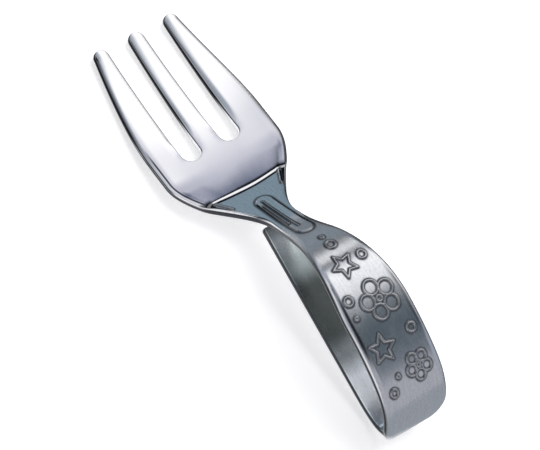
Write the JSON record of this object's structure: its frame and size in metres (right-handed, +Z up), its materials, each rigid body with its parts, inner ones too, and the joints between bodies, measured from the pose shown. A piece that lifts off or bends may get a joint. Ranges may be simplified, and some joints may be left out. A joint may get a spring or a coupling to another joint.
{
  "type": "baby fork",
  "caption": "Small stainless fork with blunt tines, a shallow dished head and a broad strap bent back under the neck as a closed finger loop.",
  "frame": {"origin": "on the table, under the middle of the object's box as it lies at rest on its heel bend and the back of its head", "axes": "+X from the heel of the loop to the tine tips, +Y across the head to its left, +Z up from the table"},
  "size_m": [0.0862, 0.0246, 0.0204],
  "materials": {
    "polished_steel": "mirror polished stainless steel",
    "satin_steel": "fine satin stainless steel with a lengthwise grain"
  },
  "bodies": {
    "root": {"fork_head": "polished_steel", "loop_handle": "satin_steel"}
  },
  "joints": []
}
